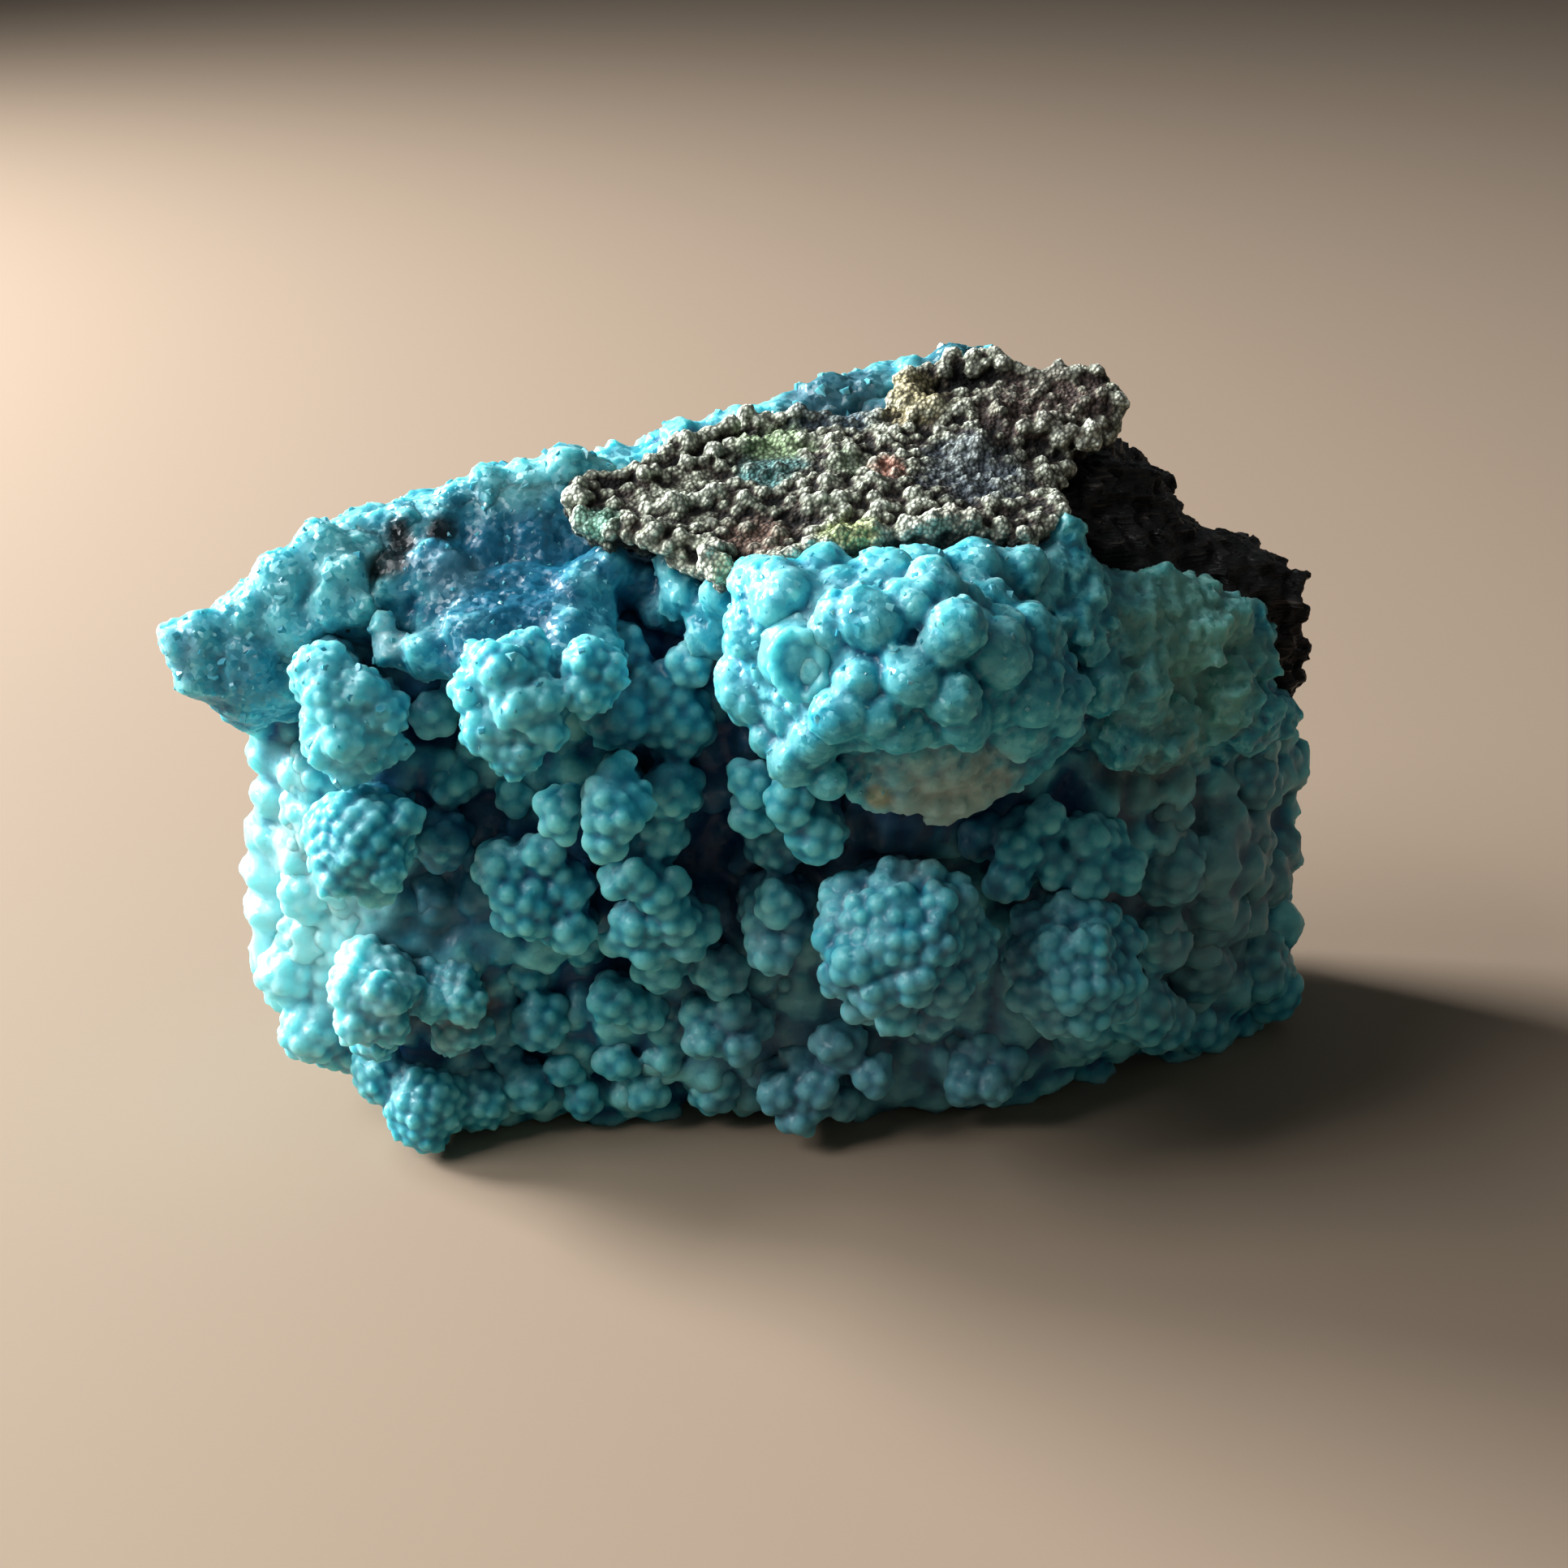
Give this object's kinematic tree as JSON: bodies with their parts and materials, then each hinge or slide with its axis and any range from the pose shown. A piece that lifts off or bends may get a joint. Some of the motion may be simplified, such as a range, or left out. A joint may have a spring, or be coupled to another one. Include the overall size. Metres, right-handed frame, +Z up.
{
  "type": "gibbsite specimen",
  "caption": "Hand-sized botryoidal gibbsite mineral specimen: sky-blue knobbed mass on a dark laminated rock ledge, with a warty brown-grey crust over the top; rests on its broken base.",
  "frame": {"origin": "middle of the footprint's bounding box, on the resting plane", "axes": "+Z up as the specimen rests, -Y towards the knobbed display face, +X along the longest side towards the bare dark ledge"},
  "size_m": [0.063, 0.035, 0.0401],
  "materials": {
    "blue_gibbsite": "waxy, slightly translucent, frosted with fine crystals",
    "iron_rock": "dull, rough, broken in thin layers",
    "limonite_crust": "dry, earthy, granular"
  },
  "bodies": {
    "root": {"gibbsite_mass": "blue_gibbsite", "host_rock_ledge": "iron_rock", "limonite_crust": "limonite_crust"}
  },
  "joints": []
}
